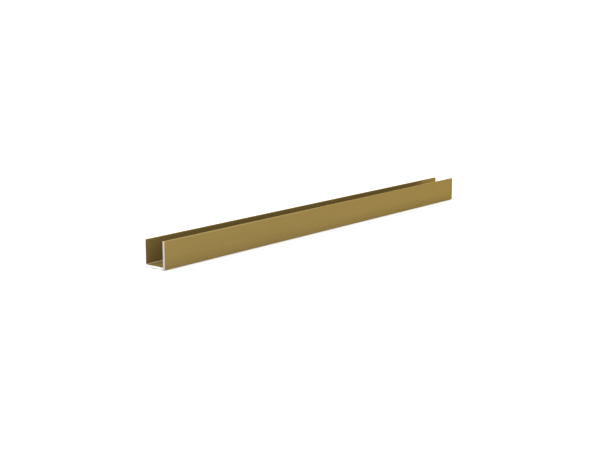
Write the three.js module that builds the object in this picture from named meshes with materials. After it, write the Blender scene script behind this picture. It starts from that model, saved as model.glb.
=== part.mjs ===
// Threshold strip: a cut length of anodised aluminium U-channel that is bonded across an
// opening and takes the bottom edge of a fixed panel.
//
// Frame, in millimetres: +X runs along the strip, -Y is the side of the taller front leg,
// +Z is up. The origin is the centre of the strip on the surface it is laid on.
import * as THREE from "three";

// ---- Driving dimensions --------------------------------------------------------------

const stripLength = 375; // cut end to cut end
const stripWidth = 20; // outside of the front leg to outside of the rear leg
const frontLegHeight = 20; // underside of the base to the tip of the front leg
const rearLegHeight = 19; // underside of the base to the tip of the rear leg
const legThickness = 1.7;
const baseThickness = 1.7;
const rootFillet = 0.5; // inside corners, where the legs meet the base
const edgeRadius = 0.3; // every outside corner of the extruded section

const tapeWidth = 5; // foam bonding tape
const tapeThickness = 0.8;
const tapeRecessDepth = 0.6; // recess in the underside that locates each tape
const linerThickness = 0.12; // release paper on the tape's lower face
const linerOverhang = 0.4; // how far the paper is wider than the tape, each side

const blockLength = 50; // setting blocks under the panel
const blockThickness = 3;
const blockPosition = 0.25; // each block's centre, as a share of the length from its end
const drainWidth = 3; // the two drain notches under each block
const drainDepth = 1;

const slideClearance = 0.3; // between a piece and the sides of what it drops into
const bondGap = 0.05; // film of adhesive between two bonded faces

// ---- Levels and widths that follow from them -----------------------------------------

const tapeBottom = linerThickness + bondGap;
const recessRoof = tapeBottom + tapeThickness + bondGap;
const baseBottom = recessRoof - tapeRecessDepth;
const baseTop = baseBottom + baseThickness;
const slotWidth = stripWidth - 2 * legThickness;
const recessWidth = tapeWidth + 2 * slideClearance;
const recessCentre = stripWidth / 4; // each recess lies in the middle of its half of the base
const blockWidth = slotWidth - 2 * slideClearance;
const blockBottom = baseTop + bondGap;
const blockOffset = stripLength * (0.5 - blockPosition);

const cornerSteps = 4; // straight pieces in each rounded corner

// ---- Materials -----------------------------------------------------------------------

const finish = (color, roughness, metalness) =>
  new THREE.MeshStandardMaterial({ color, roughness, metalness });

const goldAnodised = finish(0x98834d, 0.35, 1);
const whiteFoam = finish(0xe9e8e3, 0.9, 0);
const releasePaper = finish(0xf2ead6, 0.55, 0);
const blackRubber = finish(0x26272a, 0.75, 0);

// ---- Geometry helpers ----------------------------------------------------------------

// A closed outline in the (Y, Z) plane from its corners, each [y, z, radius]. A corner with
// a radius is rounded by an arc tangent to both of its sides.
function outline(corners) {
  const shape = new THREE.Shape();
  corners.forEach(([y, z, radius], i) => {
    const corner = new THREE.Vector2(y, z);
    if (!radius) {
      addPoint(shape, corner, i);
      return;
    }
    const before = corners[(i + corners.length - 1) % corners.length];
    const after = corners[(i + 1) % corners.length];
    const back = new THREE.Vector2(before[0], before[1]).sub(corner).normalize();
    const ahead = new THREE.Vector2(after[0], after[1]).sub(corner).normalize();
    const halfAngle = Math.acos(back.dot(ahead)) / 2;
    const trim = radius / Math.tan(halfAngle);
    const start = corner.clone().addScaledVector(back, trim);
    const end = corner.clone().addScaledVector(ahead, trim);
    const centre = back
      .clone()
      .add(ahead)
      .normalize()
      .multiplyScalar(radius / Math.sin(halfAngle))
      .add(corner);
    const turn = back.cross(ahead) > 0;
    addPoint(shape, start, i);
    shape.absarc(
      centre.x,
      centre.y,
      radius,
      start.clone().sub(centre).angle(),
      end.clone().sub(centre).angle(),
      turn,
    );
  });
  shape.closePath();
  return shape;
}

function addPoint(shape, point, index) {
  if (index === 0) shape.moveTo(point.x, point.y);
  else shape.lineTo(point.x, point.y);
}

// A section in the (Y, Z) plane carried along X for the given length, centred on centreX.
function extrudeAlongX(section, length, centreX = 0) {
  const geometry = new THREE.ExtrudeGeometry(section, {
    depth: length,
    bevelEnabled: false,
    curveSegments: cornerSteps,
  });
  // The section is drawn in (x, y) and pushed along z: turn (x, y, z) into (Y, Z, X).
  const toStrip = new THREE.Matrix4().set(
    0, 0, 1, centreX - length / 2,
    1, 0, 0, 0,
    0, 1, 0, 0,
    0, 0, 0, 1,
  );
  return geometry.applyMatrix4(toStrip);
}

// A rectangle in the (Y, Z) plane, as the corners of an outline.
function rectangle(centreY, width, bottom, height) {
  return [
    [centreY - width / 2, bottom],
    [centreY + width / 2, bottom],
    [centreY + width / 2, bottom + height],
    [centreY - width / 2, bottom + height],
  ];
}

// A notch cut up into an underside, as the corners met while walking towards +Y.
function notch(centreY, width, mouth, roof) {
  return [
    [centreY - width / 2, mouth],
    [centreY - width / 2, roof],
    [centreY + width / 2, roof],
    [centreY + width / 2, mouth],
  ];
}

function namedMesh(name, geometry, material) {
  const mesh = new THREE.Mesh(geometry, material);
  mesh.name = name;
  return mesh;
}

// ---- Channel -------------------------------------------------------------------------

// One extruded U section: base, taller front leg, lower rear leg, filleted roots and two
// shallow tape recesses underneath. Walked anticlockwise, from the front bottom edge.
function channel() {
  const outside = stripWidth / 2;
  const inside = slotWidth / 2;
  const frontTip = baseBottom + frontLegHeight;
  const rearTip = baseBottom + rearLegHeight;
  const section = outline([
    [-outside, baseBottom, edgeRadius],
    ...notch(-recessCentre, recessWidth, baseBottom, recessRoof),
    ...notch(recessCentre, recessWidth, baseBottom, recessRoof),
    [outside, baseBottom, edgeRadius],
    [outside, rearTip, edgeRadius],
    [inside, rearTip, edgeRadius],
    [inside, baseTop, rootFillet],
    [-inside, baseTop, rootFillet],
    [-inside, frontTip, edgeRadius],
    [-outside, frontTip, edgeRadius],
  ]);
  return namedMesh("channel", extrudeAlongX(section, stripLength), goldAnodised);
}

// ---- Bonding tape and its release paper ----------------------------------------------

// Foam tape seated in a recess and standing a little proud of the underside.
function bondingTape(side, centreY) {
  const section = outline(rectangle(centreY, tapeWidth, tapeBottom, tapeThickness));
  return namedMesh("bonding_tape_" + side, extrudeAlongX(section, stripLength), whiteFoam);
}

// Paper on the tape's lower face, peeled off when the strip is laid.
function tapeLiner(side, centreY) {
  const linerWidth = tapeWidth + 2 * linerOverhang;
  const section = outline(rectangle(centreY, linerWidth, 0, linerThickness));
  return namedMesh("tape_liner_" + side, extrudeAlongX(section, stripLength), releasePaper);
}

// ---- Setting blocks ------------------------------------------------------------------

// A resilient block on the floor of the slot. Its lower edges are cut back to clear the
// root fillets, and two notches under it let water run past.
function settingBlock(side, centreX) {
  const half = blockWidth / 2;
  const top = blockBottom + blockThickness;
  const drainRoof = blockBottom + drainDepth;
  const drainOffset = blockWidth / 4;
  const section = outline([
    [-half, blockBottom + rootFillet],
    [-half + rootFillet, blockBottom],
    ...notch(-drainOffset, drainWidth, blockBottom, drainRoof),
    ...notch(drainOffset, drainWidth, blockBottom, drainRoof),
    [half - rootFillet, blockBottom],
    [half, blockBottom + rootFillet],
    [half, top, edgeRadius],
    [-half, top, edgeRadius],
  ]);
  const body = extrudeAlongX(section, blockLength, centreX);
  return namedMesh("setting_block_" + side, body, blackRubber);
}

// ---- Assembly ------------------------------------------------------------------------

const group = new THREE.Group();
group.add(channel());
for (const [side, sign] of [["front", -1], ["rear", 1]]) {
  group.add(bondingTape(side, sign * recessCentre));
  group.add(tapeLiner(side, sign * recessCentre));
}
for (const [side, sign] of [["left", -1], ["right", 1]]) {
  group.add(settingBlock(side, sign * blockOffset));
}

export default group;
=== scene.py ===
import math

import bpy
import numpy as np
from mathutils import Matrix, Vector


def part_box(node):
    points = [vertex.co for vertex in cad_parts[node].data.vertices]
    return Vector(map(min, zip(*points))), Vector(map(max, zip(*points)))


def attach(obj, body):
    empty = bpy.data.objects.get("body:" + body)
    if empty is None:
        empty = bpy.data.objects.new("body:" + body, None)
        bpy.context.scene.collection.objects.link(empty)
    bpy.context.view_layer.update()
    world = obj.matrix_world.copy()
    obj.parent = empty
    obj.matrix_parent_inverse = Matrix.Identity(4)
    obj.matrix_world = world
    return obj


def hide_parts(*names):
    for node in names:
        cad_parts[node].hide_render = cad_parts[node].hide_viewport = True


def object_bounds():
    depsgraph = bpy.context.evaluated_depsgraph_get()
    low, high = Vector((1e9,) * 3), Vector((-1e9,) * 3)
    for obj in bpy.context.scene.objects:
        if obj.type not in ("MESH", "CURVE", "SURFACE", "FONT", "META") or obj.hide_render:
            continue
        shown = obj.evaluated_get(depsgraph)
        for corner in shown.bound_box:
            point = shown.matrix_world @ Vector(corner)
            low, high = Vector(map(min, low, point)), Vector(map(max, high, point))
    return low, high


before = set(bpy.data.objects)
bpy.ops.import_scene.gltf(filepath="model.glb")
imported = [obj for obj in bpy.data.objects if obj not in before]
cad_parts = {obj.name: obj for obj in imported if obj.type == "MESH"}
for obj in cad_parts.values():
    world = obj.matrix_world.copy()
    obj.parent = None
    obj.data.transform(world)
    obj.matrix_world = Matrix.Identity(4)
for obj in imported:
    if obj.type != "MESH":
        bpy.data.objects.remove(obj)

cad_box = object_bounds()

# ======================================================================================
# The view. The strip lies diagonally away from the camera, which looks down on it at a
# shallow angle through a slightly long lens, with the strip a little above the middle.
# ======================================================================================

sensor_width_mm = 36.0
lens_length_mm = 64.67
view_azimuth = math.radians(-51.28)  # 0 looks along +Y, negative turns towards the left end
view_elevation = math.radians(10.875)
view_distance = 0.8768  # from the lens to the plane through the strip's middle
strip_right_of_axis = 0.0181
strip_above_axis = 0.00755


def view_camera():
    """Camera on a sphere round the strip, then slid to put the strip off the lens axis.

    At azimuth a and elevation e the camera lies from the strip's middle towards
    (sin a cos e, -cos a cos e, sin e).
    """
    back = Vector((
        math.sin(view_azimuth) * math.cos(view_elevation),
        -math.cos(view_azimuth) * math.cos(view_elevation),
        math.sin(view_elevation),
    ))
    turn = back.to_track_quat("Z", "Y")
    right = turn @ Vector((1, 0, 0))
    up = turn @ Vector((0, 1, 0))
    middle = (cad_box[0] + cad_box[1]) / 2
    lens = bpy.data.cameras.new("view_camera")
    lens.sensor_width = sensor_width_mm
    lens.lens = lens_length_mm
    lens.clip_start = 0.01
    lens.clip_end = 50
    camera = bpy.data.objects.new("view_camera", lens)
    camera.rotation_mode = "QUATERNION"
    camera.rotation_quaternion = turn
    camera.location = (
        middle + back * view_distance - right * strip_right_of_axis - up * strip_above_axis
    )
    bpy.context.scene.collection.objects.link(camera)
    bpy.context.scene.camera = camera


view_camera()

# ======================================================================================
# Channel. One extruded aluminium section: a base, a taller front leg and a lower rear
# leg, with filleted roots inside and two shallow tape recesses underneath. It is etched
# and anodised gold in the full length, then sawn, so its two cut ends are bare metal.
# ======================================================================================

MM = 0.001

leg_thickness = 1.7 * MM
base_thickness = 1.7 * MM
rear_leg_drop = 1.0 * MM  # how far the rear leg's tip is below the front leg's
root_fillet = 0.5 * MM
edge_radius = 0.3 * MM
slot_edge_radius = 0.15 * MM  # the two edges that face each other across the slot are crisper
recess_width = 5.6 * MM
recess_depth = 0.6 * MM
saw_burr = 0.09 * MM  # the bare edge where the sawn end was broken with a file
foot_shade_height = 7.0 * MM  # painted shade: each leg is coloured darker from this far above the floor down
foot_shade_strength = 0.18
front_edge_wear_and_highlight = 0.38  # how pale the front leg's rounded edges are near the left end, partly wear and partly painted highlight
paling_fades_at = 0.35  # and where that ends, as a share of the half length right of the middle
lengthwise_steps = 60
crease_angle = math.radians(35)  # sharper corners than this are shaded as edges

strip_low, strip_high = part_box("channel")
slot_side = strip_high.y - leg_thickness  # how far each leg's inner face is from the middle
floor_level = strip_low.z + base_thickness


def rounded_section(corners, steps=10):
    """Closed section in the (Y, Z) plane from its corners (y, z, radius), anticlockwise.

    The arc in a rounded corner touches both sides. Its centre lies on the corner's bisector,
    radius / sin(half angle) away, and its points turn evenly from one tangent point to the
    other. Returns the points and, for each, how far it lies into an arc: sin(pi t), which is
    0 on the flats and 1 in the middle of a corner.
    """
    points, bend = [], []
    count = len(corners)
    for i, (y, z, radius) in enumerate(corners):
        corner = np.array([y, z])
        if radius == 0:
            points.append(corner[None])
            bend.append([0.0])
            continue
        back = np.array(corners[i - 1][:2]) - corner
        ahead = np.array(corners[(i + 1) % count][:2]) - corner
        back /= np.linalg.norm(back)
        ahead /= np.linalg.norm(ahead)
        half = math.acos(back @ ahead) / 2
        bisector = (back + ahead) / np.linalg.norm(back + ahead)
        centre = corner + bisector * radius / math.sin(half)
        start = corner + back * radius / math.tan(half) - centre
        end = corner + ahead * radius / math.tan(half) - centre
        sweep = math.pi - 2 * half
        t = np.linspace(0, 1, steps + 1)[:, None]
        arc = (np.sin((1 - t) * sweep) * start + np.sin(t * sweep) * end) / math.sin(sweep)
        points.append(centre + arc)
        bend.append(np.sin(np.pi * t[:, 0]))
    return np.concatenate(points), np.concatenate(bend)


def inward(section):
    """For each section point, the step that moves both of its sides inwards by one unit.

    With the unit normals a and b of the two sides, both pointing left of the path, it is
    (a + b) / (1 + a.b).
    """
    side = np.roll(section, -1, axis=0) - section
    side /= np.linalg.norm(side, axis=1, keepdims=True)
    after = np.stack([-side[:, 1], side[:, 0]], axis=1)
    before = np.roll(after, 1, axis=0)
    return (before + after) / (1 + np.sum(before * after, axis=1, keepdims=True))


def carried(section, along, inset):
    """Grid (station, section point, xyz): the section at each station along X, drawn in by its inset."""
    flat = section[None] + inset[:, None, None] * inward(section)[None]
    x = np.broadcast_to(along[:, None, None], flat.shape[:2] + (1,))
    return np.concatenate([x, flat], axis=2)


def eased_ends(start, end, radius, steps):
    """Stations and insets of a bar whose two ends are rounded over.

    At the angle a of the end's quarter circle the station is radius (1 - cos a) in from the
    end, and the section is drawn in by radius (1 - sin a). One step makes a plain chamfer.
    """
    a = np.linspace(0, np.pi / 2, steps + 1)
    near = start + radius * (1 - np.cos(a))
    drawn_in = radius * (1 - np.sin(a))
    far = end - radius * (1 - np.cos(a))
    return np.concatenate([near, far[::-1]]), np.concatenate([drawn_in, drawn_in[::-1]])


def bar_piece(name, grid, materials, end_rings=0):
    """Closed mesh of a carried section: quads between neighbouring stations, one face over each end.

    The first and last end_rings bands of quads and both end faces wear the second material,
    if there is one.
    """
    stations, around = grid.shape[:2]
    index = np.arange(stations * around).reshape(stations, around)
    ahead = np.roll(index, -1, axis=1)
    quads = np.stack([index[:-1], ahead[:-1], ahead[1:], index[1:]], axis=-1)
    band = np.repeat(np.arange(stations - 1), around)
    at_end = (band < end_rings) | (band >= stations - 1 - end_rings)
    faces = quads.reshape(-1, 4).tolist() + [index[0, ::-1].tolist(), index[-1].tolist()]
    mesh = bpy.data.meshes.new(name)
    mesh.from_pydata(grid.reshape(-1, 3).tolist(), [], faces)
    for material in materials:
        mesh.materials.append(material)
    if len(materials) > 1:
        worn = np.append(at_end, [True, True]).astype(np.int32)
        mesh.polygons.foreach_set("material_index", worn)
    mesh.polygons.foreach_set("use_smooth", np.ones(len(faces), bool))
    mesh.set_sharp_from_angle(angle=crease_angle)
    mesh.update()
    piece = bpy.data.objects.new(name, mesh)
    bpy.context.scene.collection.objects.link(piece)
    even = piece.modifiers.new("even_flats", "WEIGHTED_NORMAL")
    even.keep_sharp = True
    return piece


def point_attribute(piece, name, values):
    """One number for each mesh point, for the piece's material to read."""
    attribute = piece.data.attributes.new(name, "FLOAT", "POINT")
    attribute.data.foreach_set("value", np.ascontiguousarray(values, np.float32).ravel())


def notch(centre, width, mouth, roof):
    """A square notch cut up into an underside, as section corners walked towards +Y."""
    return [
        (centre - width / 2, mouth, 0),
        (centre - width / 2, roof, 0),
        (centre + width / 2, roof, 0),
        (centre + width / 2, mouth, 0),
    ]


def channel_section():
    """The U section, walked anticlockwise from the front bottom edge."""
    out = strip_high.y
    bottom, tip = strip_low.z, strip_high.z
    rear_tip = tip - rear_leg_drop
    return rounded_section([
        (-out, bottom, edge_radius),
        *notch(-out / 2, recess_width, bottom, bottom + recess_depth),
        *notch(out / 2, recess_width, bottom, bottom + recess_depth),
        (out, bottom, edge_radius),
        (out, rear_tip, edge_radius),
        (slot_side, rear_tip, slot_edge_radius),
        (slot_side, floor_level, root_fillet),
        (-slot_side, floor_level, root_fillet),
        (-slot_side, tip, slot_edge_radius),
        (-out, tip, edge_radius),
    ])


class Nodes:
    """Short way to add and join the nodes of one material."""

    def __init__(self, name):
        self.material = bpy.data.materials.new(name)
        self.material.use_nodes = True
        self.tree = self.material.node_tree
        self.shader = self.tree.nodes["Principled BSDF"]

    def add(self, kind, inputs=None, **settings):
        """A new node. Each input is a plain value or another node's output."""
        node = self.tree.nodes.new(kind)
        for key, value in settings.items():
            setattr(node, key, value)
        for key, value in (inputs or {}).items():
            self.join(value, node.inputs[key])
        return node

    def join(self, value, socket):
        if isinstance(value, bpy.types.NodeSocket):
            self.tree.links.new(value, socket)
        else:
            socket.default_value = value

    def shade(self, **inputs):
        """Sets the shader's own sockets; an underscore in a name stands for a space."""
        for key, value in inputs.items():
            self.join(value, self.shader.inputs[key.replace("_", " ")])

    def place(self, scale=(1, 1, 1), offset=(0, 0, 0)):
        """Object coordinates, moved by offset and then stretched by scale."""
        where = self.add("ShaderNodeTexCoord").outputs["Object"]
        moved = self.add("ShaderNodeVectorMath", {0: where, 1: offset}, operation="ADD")
        stretched = self.add(
            "ShaderNodeVectorMath", {0: moved.outputs[0], 1: scale}, operation="MULTIPLY"
        )
        return stretched.outputs[0]

    def noise(self, where, scale, detail=2.0, roughness=0.5):
        node = self.add(
            "ShaderNodeTexNoise",
            {"Vector": where, "Scale": scale, "Detail": detail, "Roughness": roughness},
        )
        return node.outputs["Fac"]

    def spread(self, value, low, high, start=0.0, end=1.0):
        """value from start to end becomes low to high, and stays at them outside."""
        node = self.add(
            "ShaderNodeMapRange",
            {"Value": value, "From Min": start, "From Max": end, "To Min": low, "To Max": high},
        )
        return node.outputs["Result"]

    def math(self, operation, *values):
        node = self.add("ShaderNodeMath", dict(enumerate(values)), operation=operation)
        return node.outputs[0]

    def attribute(self, name):
        return self.add("ShaderNodeAttribute", attribute_name=name).outputs["Fac"]

    def mix(self, share, a, b):
        """Colour a at share 0, colour b at share 1. A colour is three numbers or an output."""
        node = self.add("ShaderNodeMix", data_type="RGBA")
        factor, colour_a, colour_b = node.inputs[0], node.inputs[6], node.inputs[7]
        self.join(share, factor)
        for socket, colour in ((colour_a, a), (colour_b, b)):
            self.join((*colour, 1) if isinstance(colour, tuple) else colour, socket)
        return node.outputs[2]

    def bump(self, height, strength, distance, below=None):
        inputs = {"Height": height, "Strength": strength, "Distance": distance}
        if below is not None:
            inputs["Normal"] = below
        return self.add("ShaderNodeBump", inputs).outputs["Normal"]


def anodised_gold():
    """Etched and dyed skin: a fine even grain and faint die lines along the strip.

    It has painted shade low on the legs and a painted highlight in the root fillets; its front edges are
    paler near the left end, partly from wear and partly painted highlight.
    """
    pale_gold = (0.241, 0.170, 0.056)
    deep_gold = (0.219, 0.153, 0.049)
    line_gold = (0.262, 0.186, 0.062)
    # the colour of the painted shade low on the legs
    foot_shade_gold = (0.10, 0.07, 0.02)
    # the paler colour of the painted highlight in the fillets and of the worn, highlighted front edges
    wear_and_highlight_gold = (0.52, 0.45, 0.34)
    n = Nodes("anodised_gold")
    die_lines = n.noise(n.place(scale=(5, 1400, 1400)), 1.0, detail=3.0)
    grain = n.noise(n.place(), 5200.0, detail=2.0, roughness=0.6)
    cloud = n.noise(n.place(scale=(9, 30, 30)), 1.0, detail=3.0)
    # Painted highlight in the root fillets; wear and painted highlight on the front leg's edges.
    wear_and_highlight = n.attribute("edge_wear_and_highlight")
    position = n.add("ShaderNodeSeparateXYZ", {0: n.place()}).outputs
    across = n.math("ABSOLUTE", position["Y"])
    # Painted shade: the legs are coloured darker towards the floor, in place of the shade they reflect
    # from the floor near their foot.
    on_leg = n.spread(across, 0, 1, slot_side - root_fillet, slot_side)
    shade_toward_foot = n.spread(position["Z"], 1, 0, floor_level, floor_level + foot_shade_height)
    painted_foot_shade = n.math("MULTIPLY", n.math("MULTIPLY", on_leg, shade_toward_foot), foot_shade_strength)
    tone = n.mix(n.spread(cloud, 0, 1, 0.3, 0.7), deep_gold, pale_gold)
    streaked = n.mix(n.spread(die_lines, 0, 0.35, 0.45, 0.75), tone, line_gold)
    foot_shaded = n.mix(painted_foot_shade, streaked, foot_shade_gold)
    highlighted_and_worn = n.mix(n.spread(wear_and_highlight, 0, 0.8), foot_shaded, wear_and_highlight_gold)
    grain_gloss = n.spread(grain, 0.14, 0.22, 0.3, 0.7)
    line_gloss = n.spread(die_lines, -0.03, 0.03, 0.3, 0.7)
    etched = n.bump(grain, 0.05, 0.02 * MM)
    n.shade(
        Base_Color=highlighted_and_worn,
        Metallic=0.4,
        Roughness=n.math("ADD", grain_gloss, line_gloss),
        Specular_IOR_Level=0.0,
        Specular_Tint=(0.50, 0.39, 0.19, 1),
        Normal=n.bump(die_lines, 0.06, 0.04 * MM, below=etched),
    )
    return n.material


def sawn_aluminium():
    """Bare cut face crossed by the fine arcs of a large blade, set greyer on the front leg."""
    bright_light = (0.81, 0.805, 0.795)
    bright_dark = (0.72, 0.71, 0.695)
    grey_light = (0.515, 0.481, 0.442)
    grey_dark = (0.438, 0.404, 0.365)
    grey_fade = 0.5 * MM
    n = Nodes("sawn_aluminium")
    from_blade = n.place(offset=(0, 0.09, 0.13))
    arcs = n.add(
        "ShaderNodeTexWave",
        {
            "Vector": from_blade,
            "Scale": 620.0,
            "Distortion": 3.0,
            "Detail": 3.0,
            "Detail Scale": 0.4,
        },
        wave_type="RINGS",
        rings_direction="X",
    ).outputs["Fac"]
    smear = n.noise(n.place(), 900.0, detail=3.0)
    across = n.add("ShaderNodeSeparateXYZ", {0: n.place()}).outputs["Y"]
    greyed = n.spread(across, 1, 0, -slot_side, -slot_side + grey_fade)
    bright = n.mix(arcs, bright_dark, bright_light)
    grey = n.mix(arcs, grey_dark, grey_light)
    smear_gloss = n.spread(smear, 0.34, 0.46, 0.3, 0.7)
    arc_gloss = n.spread(arcs, 0, 0.06)
    n.shade(
        Base_Color=n.mix(greyed, bright, grey),
        Metallic=1.0,
        Roughness=n.math("ADD", smear_gloss, arc_gloss),
        Normal=n.bump(arcs, 0.25, 0.03 * MM),
    )
    return n.material


def channel():
    """The section carried from end to end, with a chamfered ring of bare metal at each cut.

    Each mesh point's edge_wear_and_highlight is 1 in the middle of a root fillet, a painted highlight.
    On the front leg's rounded edges, partly wear and partly painted highlight, it is
    front_edge_wear_and_highlight near the left end, then falls evenly to 0 at paling_fades_at.
    """
    section, bend = channel_section()
    ends, end_inset = eased_ends(strip_low.x, strip_high.x, saw_burr, steps=1)
    between = np.linspace(ends[1], ends[2], lengthwise_steps + 1)[1:-1]
    along = np.concatenate([ends[:2], between, ends[2:]])
    inset = np.concatenate([end_inset[:2], np.zeros(len(between)), end_inset[2:]])
    grid = carried(section, along, inset)
    finishes = [anodised_gold(), sawn_aluminium()]
    piece = bar_piece("channel_extrusion", grid, finishes, end_rings=1)
    y, z = section.T
    # Painted highlight along the root fillets; wear and painted highlight on the front leg's edges near
    # the left end.
    front_edges = bend * (y < -slot_side)
    root_highlight = bend * (np.abs(y) < slot_side) * (z < floor_level + root_fillet)
    paling_along = np.clip(paling_fades_at - along / strip_high.x, 0, 1)
    wear_and_highlight = np.maximum(front_edge_wear_and_highlight * paling_along[:, None] * front_edges, root_highlight)
    point_attribute(piece, "edge_wear_and_highlight", wear_and_highlight)
    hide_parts("channel")
    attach(piece, "root")


channel()

# ======================================================================================
# Bonding tapes. Two lengths of white closed-cell foam, coated on both faces with clear
# acrylic adhesive, pressed into the recesses before the strip is cut, so that they end
# flush with it. Each stands a little proud of the underside.
# ======================================================================================

tape_waviness = 0.06 * MM  # how far the slit edges of the foam wander
fast_wave = 210.0  # radians for each metre of tape
slow_wave = 77.0
tape_steps = 150
tape_corner = 0.05 * MM
adhesive_film = 0.07 * MM  # on each face of the foam


def white_foam(bottom, top):
    """Matt foam with fine closed cells, between two clear glossy films of adhesive."""
    pale_foam = (0.81, 0.805, 0.79)
    deep_foam = (0.74, 0.73, 0.70)
    adhesive = (0.70, 0.69, 0.65)
    n = Nodes("white_foam")
    cells = n.add(
        "ShaderNodeTexVoronoi", {"Vector": n.place(), "Scale": 4200.0, "Randomness": 1.0}
    ).outputs["Distance"]
    height = n.add("ShaderNodeSeparateXYZ", {0: n.place()}).outputs["Z"]
    low_film = n.spread(height, 1, 0, bottom, bottom + adhesive_film)
    high_film = n.spread(height, 0, 1, top - adhesive_film, top)
    in_film = n.math("ADD", low_film, high_film)
    mottle = n.noise(n.place(), 160.0, detail=3.0)
    foam = n.mix(n.spread(mottle, 0, 1, 0.3, 0.7), deep_foam, pale_foam)
    n.shade(
        Base_Color=n.mix(in_film, foam, adhesive),
        Roughness=n.spread(in_film, 0.88, 0.3),
        Normal=n.bump(cells, 0.5, 0.06 * MM),
    )
    return n.material


def bonding_tape(node, material):
    """Foam bar whose two slit sides wander a little.

    At each station the sides are drawn in by tape_waviness times a share: a half, plus a
    quarter of a fast sine of the way along, plus a quarter of a slow one.
    """
    low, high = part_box(node)
    section, _ = rounded_section([
        (low.y, low.z, tape_corner),
        (high.y, low.z, tape_corner),
        (high.y, high.z, tape_corner),
        (low.y, high.z, tape_corner),
    ], steps=3)
    along = np.linspace(low.x, high.x, tape_steps + 1)
    grid = carried(section, along, np.zeros(len(along)))
    middle = (low.y + high.y) / 2
    own_shift = middle * 900  # sets the two tapes out of step
    fast = np.sin(along * fast_wave + own_shift)
    slow = np.sin(along * slow_wave)
    wander = 0.5 + 0.25 * fast + 0.25 * slow
    shrink = 1 - wander * tape_waviness / (high.y - middle)
    grid[:, :, 1] = middle + (grid[:, :, 1] - middle) * shrink[:, None]
    piece = bar_piece("foam_" + node, grid, [material])
    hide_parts(node)
    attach(piece, "root")


tape_low, tape_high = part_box("bonding_tape_front")
foam_material = white_foam(tape_low.z, tape_high.z)
for side in ("front", "rear"):
    bonding_tape("bonding_tape_" + side, foam_material)

# ======================================================================================
# Tape liners. The silicone-coated release paper over each tape's lower face, a little
# wider than the foam so that a nail can lift it. The unlaid strip lies on these papers.
# ======================================================================================

paper_curl = 0.05 * MM  # the paper's free edges lift by this much here and there
paper_margin = 0.25  # the share of the half width that can lift, from the edge inwards
curl_wave = 130.0  # radians for each metre of paper
paper_steps = 200
paper_columns = 17


def release_paper():
    """Smooth calendered paper: long faint fibres, a slight sheen from its silicone coat."""
    pale_paper = (0.80, 0.77, 0.69)
    deep_paper = (0.76, 0.725, 0.63)
    fibre = (0.85, 0.83, 0.77)
    n = Nodes("release_paper")
    fibres = n.noise(n.place(scale=(350, 1500, 1500)), 1.0, detail=4.0, roughness=0.65)
    patches = n.noise(n.place(), 45.0, detail=2.0)
    tone = n.mix(n.spread(patches, 0, 1, 0.3, 0.7), deep_paper, pale_paper)
    n.shade(
        Base_Color=n.mix(n.spread(fibres, 0, 0.4, 0.4, 0.75), tone, fibre),
        Roughness=n.spread(fibres, 0.38, 0.55, 0.3, 0.7),
        Normal=n.bump(fibres, 0.15, 0.02 * MM),
    )
    return n.material


def tape_liner(node, material):
    """Thin paper bar, half as thick as its space, whose margins lift here and there.

    A point is raised by paper_curl, times (1 + sin of the way along) / 2, times the square
    of its way across the margin.
    """
    low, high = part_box(node)
    thickness = (high.z - low.z) / 2
    columns = np.linspace(low.y, high.y, paper_columns)
    under = np.stack([columns, np.full(paper_columns, low.z)], axis=1)
    over = np.stack([columns[::-1], np.full(paper_columns, low.z + thickness)], axis=1)
    along = np.linspace(low.x, high.x, paper_steps + 1)
    grid = carried(np.concatenate([under, over]), along, np.zeros(len(along)))
    middle = (low.y + high.y) / 2
    reach = np.abs(grid[:, :, 1] - middle) / (high.y - middle)
    into_margin = np.clip((reach - 1 + paper_margin) / paper_margin, 0, 1)
    own_shift = middle * 400
    lift = 0.5 + 0.5 * np.sin(along * curl_wave + own_shift)
    grid[:, :, 2] += paper_curl * lift[:, None] * into_margin ** 2
    piece = bar_piece("paper_" + node, grid, [material])
    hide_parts(node)
    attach(piece, "root")


paper_material = release_paper()
for side in ("front", "rear"):
    tape_liner("tape_liner_" + side, paper_material)

# ======================================================================================
# Setting blocks. Two extruded rubber blocks that carry the panel's edge, stuck to the floor
# a quarter of the length in from each end. Their lower edges clear the root fillets, two
# notches let water past, and fine ribs on top grip the panel.
# ======================================================================================

drain_width = 3.0 * MM
drain_depth = 1.0 * MM
rib_pitch = 2.5 * MM
rib_depth = 0.18 * MM
block_edge_radius = 0.28 * MM
block_end_radius = 0.22 * MM
block_end_steps = 4
block_steps = 240


def black_rubber():
    """Matt rubber: a fine moulded grain and a pale bloom that gathers in patches."""
    deep_rubber = (0.020, 0.020, 0.021)
    bloomed_rubber = (0.046, 0.045, 0.044)
    n = Nodes("black_rubber")
    grain = n.noise(n.place(), 3600.0, detail=3.0, roughness=0.6)
    bloom = n.noise(n.place(), 110.0, detail=4.0, roughness=0.6)
    n.shade(
        Base_Color=n.mix(n.spread(bloom, 0, 1, 0.35, 0.75), deep_rubber, bloomed_rubber),
        Roughness=n.spread(grain, 0.62, 0.82, 0.3, 0.7),
        Normal=n.bump(grain, 0.35, 0.05 * MM),
    )
    return n.material


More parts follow.
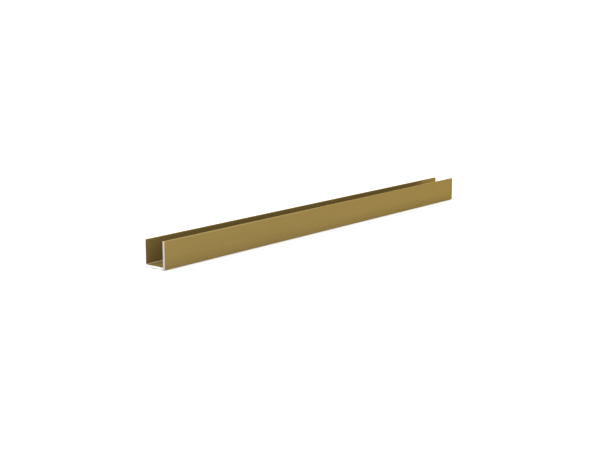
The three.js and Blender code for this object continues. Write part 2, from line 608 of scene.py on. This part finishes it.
def setting_block(node, material):
    """Block with rounded ends and narrow grooves across its top, which leave the ribs.

    The top is lowered by rib_depth (1 - |sin(pi times the way along / rib_pitch)|) ** 3,
    except near the two ends.
    """
    low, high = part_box(node)
    drain_roof = low.z + drain_depth
    section, _ = rounded_section([
        (low.y, low.z + root_fillet, block_edge_radius),
        (low.y + root_fillet, low.z, block_edge_radius),
        *notch(low.y / 2, drain_width, low.z, drain_roof),
        *notch(high.y / 2, drain_width, low.z, drain_roof),
        (high.y - root_fillet, low.z, block_edge_radius),
        (high.y, low.z + root_fillet, block_edge_radius),
        (high.y, high.z, block_edge_radius),
        (low.y, high.z, block_edge_radius),
    ], steps=5)
    ends, end_inset = eased_ends(low.x, high.x, block_end_radius, block_end_steps)
    half = len(ends) // 2
    between = np.linspace(ends[half - 1], ends[half], block_steps + 1)[1:-1]
    along = np.concatenate([ends[:half], between, ends[half:]])
    inset = np.concatenate([end_inset[:half], np.zeros(len(between)), end_inset[half:]])
    grid = carried(section, along, inset)
    from_end = np.minimum(along - low.x, high.x - along)
    groove = (1 - np.abs(np.sin(np.pi * (along - low.x) / rib_pitch))) ** 3
    groove *= np.clip(from_end / rib_pitch - 0.5, 0, 1)
    on_top = np.clip((grid[:, :, 2] - high.z) / block_edge_radius + 1, 0, 1)
    grid[:, :, 2] -= rib_depth * groove[:, None] * on_top
    piece = bar_piece("rubber_" + node, grid, [material])
    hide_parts(node)
    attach(piece, "root")


rubber_material = black_rubber()
for side in ("left", "right"):
    setting_block("setting_block_" + side, rubber_material)

# ======================================================================================
# The studio. The strip lies on a large white acrylic sheet lit from beneath, under a broad
# overhead diffuser and an even white surround, so hardly any shadow falls.
# ======================================================================================

table_width = 24.0


def light_table():
    """A level sheet under the strip that glows a little, with the faintest unevenness."""
    n = Nodes("white_acrylic")
    unevenness = n.noise(n.place(), 3.0, detail=2.0)
    n.shade(
        Base_Color=n.mix(unevenness, (0.51, 0.51, 0.505), (0.53, 0.53, 0.525)),
        Roughness=0.9,
        Emission_Color=(1, 1, 1, 1),
        Emission_Strength=0.35,
    )
    reach = table_width / 2
    corners = [(-reach, -reach, 0), (reach, -reach, 0), (reach, reach, 0), (-reach, reach, 0)]
    mesh = bpy.data.meshes.new("studio_floor")
    mesh.from_pydata(corners, [], [(0, 1, 2, 3)])
    mesh.materials.append(n.material)
    floor = bpy.data.objects.new("studio_floor", mesh)
    bpy.context.scene.collection.objects.link(floor)


def surround(strength):
    """Even white light from all round."""
    world = bpy.data.worlds.new("surround")
    world.use_nodes = True
    background = world.node_tree.nodes["Background"]
    background.inputs["Color"].default_value = (1, 1, 1, 1)
    background.inputs["Strength"].default_value = strength
    bpy.context.scene.world = world


def overhead_diffuser(strength, width):
    """Light from straight above, as wide across the sky as the given angle."""
    lamp = bpy.data.lights.new("overhead_diffuser", "SUN")
    lamp.energy = strength
    lamp.angle = width
    light = bpy.data.objects.new("overhead_diffuser", lamp)
    bpy.context.scene.collection.objects.link(light)


light_table()
surround(strength=1.3)
overhead_diffuser(strength=2.4, width=math.radians(60))
bpy.context.scene.view_settings.view_transform = "Standard"
